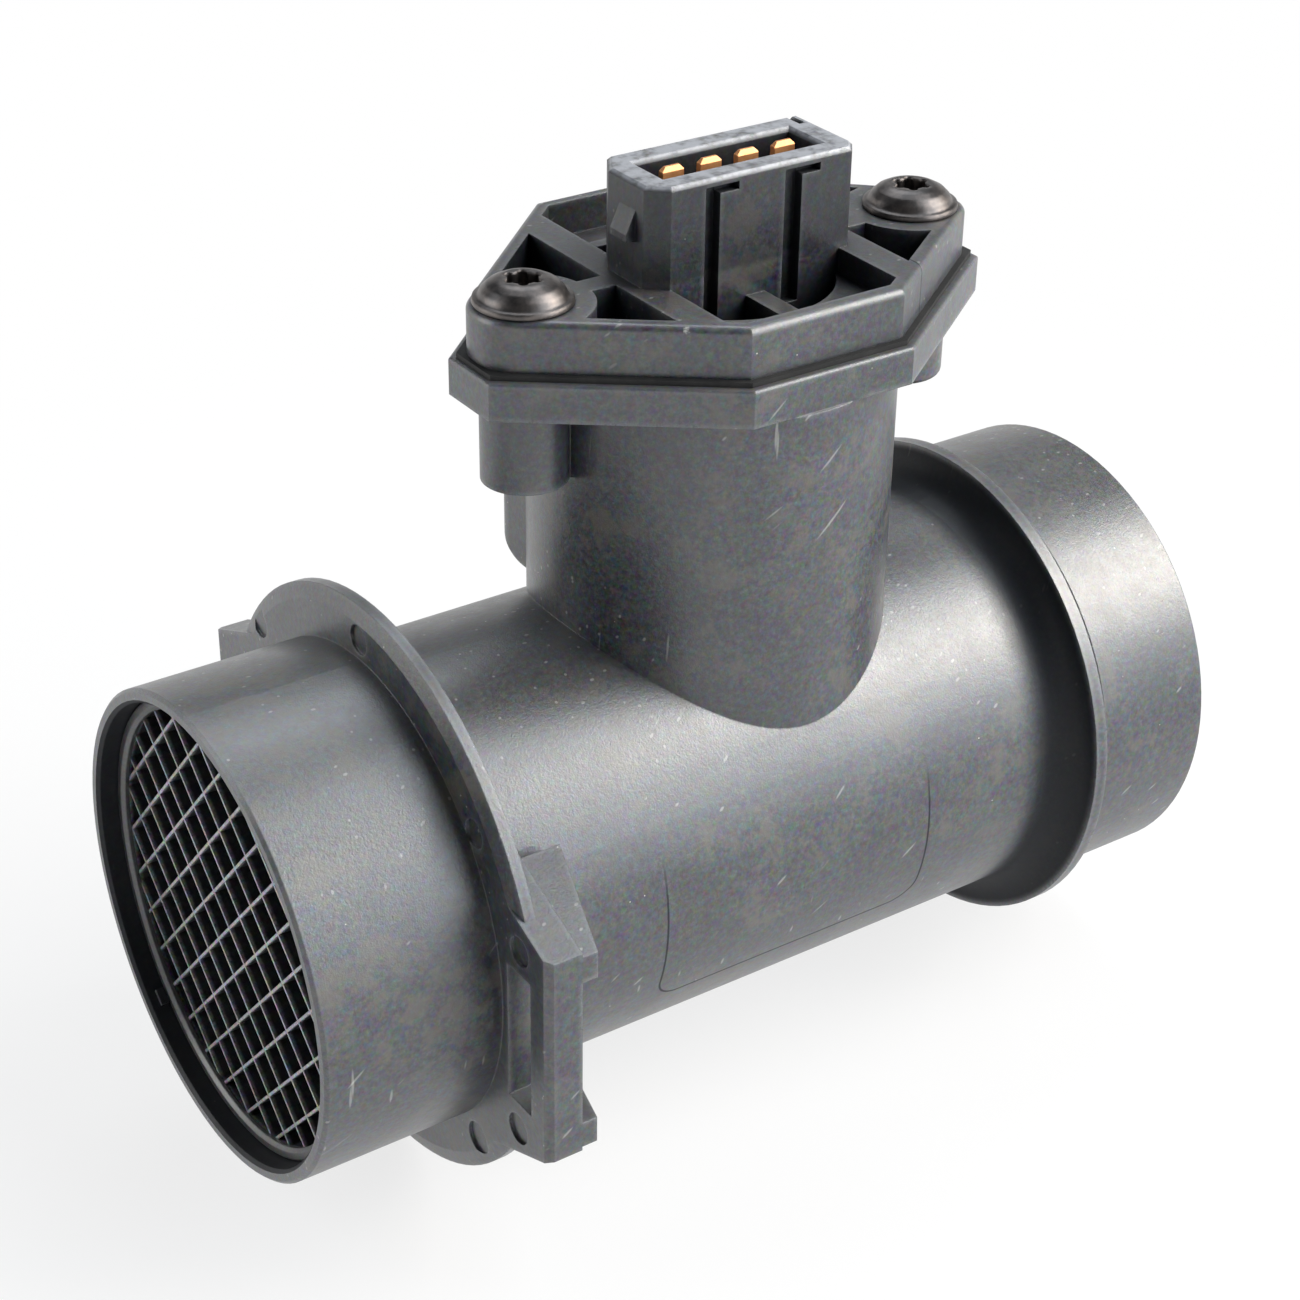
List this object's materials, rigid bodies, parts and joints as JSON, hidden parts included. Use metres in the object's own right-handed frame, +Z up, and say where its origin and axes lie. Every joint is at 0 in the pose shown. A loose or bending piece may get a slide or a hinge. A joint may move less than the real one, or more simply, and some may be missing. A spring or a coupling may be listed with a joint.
{
  "type": "mass airflow sensor",
  "caption": "Round plastic air duct with a flanged inlet spigot, a flow grid and a neck that carries a screwed-down sensor head with an upright plug connector.",
  "frame": {"origin": "centre of the inlet end face, on the duct's axis", "axes": "+X along the air flow from inlet to outlet, +Z up the neck to the connector, Y across the duct"},
  "size_m": [0.1255, 0.076, 0.1137],
  "materials": {
    "housing_plastic": "satin glass-filled nylon with fine grain and light wear",
    "cover_plastic": "satin glass-filled nylon with fine grain and light wear",
    "grid_plastic": "satin",
    "ring_plastic": "satin",
    "gasket_rubber": "matte",
    "terminal_metal": "bright copper-coloured alloy",
    "screw_steel": "dark passivated steel, smooth",
    "insert_brass": "turned",
    "seal_rubber": "smooth",
    "stem_plastic": "satin",
    "carrier_metal": "satin",
    "board_laminate": "lacquered",
    "chip_plastic": "matte",
    "capacitor_ceramic": "matte",
    "element_ceramic": "glazed"
  },
  "bodies": {
    "root": {"air_duct_housing": "housing_plastic", "flow_straightener_grid": "grid_plastic", "grid_retaining_ring": "ring_plastic", "cover_gasket": "gasket_rubber", "sensor_cover": "cover_plastic", "terminal_1": "terminal_metal", "terminal_2": "terminal_metal", "terminal_3": "terminal_metal", "terminal_4": "terminal_metal", "cover_screws": "screw_steel", "boss_inserts": "insert_brass", "stem_seal_ring": "seal_rubber", "sensor_stem": "stem_plastic", "stem_lid": "stem_plastic", "carrier_plate": "carrier_metal", "circuit_board": "board_laminate", "signal_chip": "chip_plastic", "power_transistor": "chip_plastic", "chip_capacitors": "capacitor_ceramic", "element_leads": "terminal_metal", "hot_film_element": "element_ceramic", "air_temperature_element": "element_ceramic"}
  },
  "joints": []
}
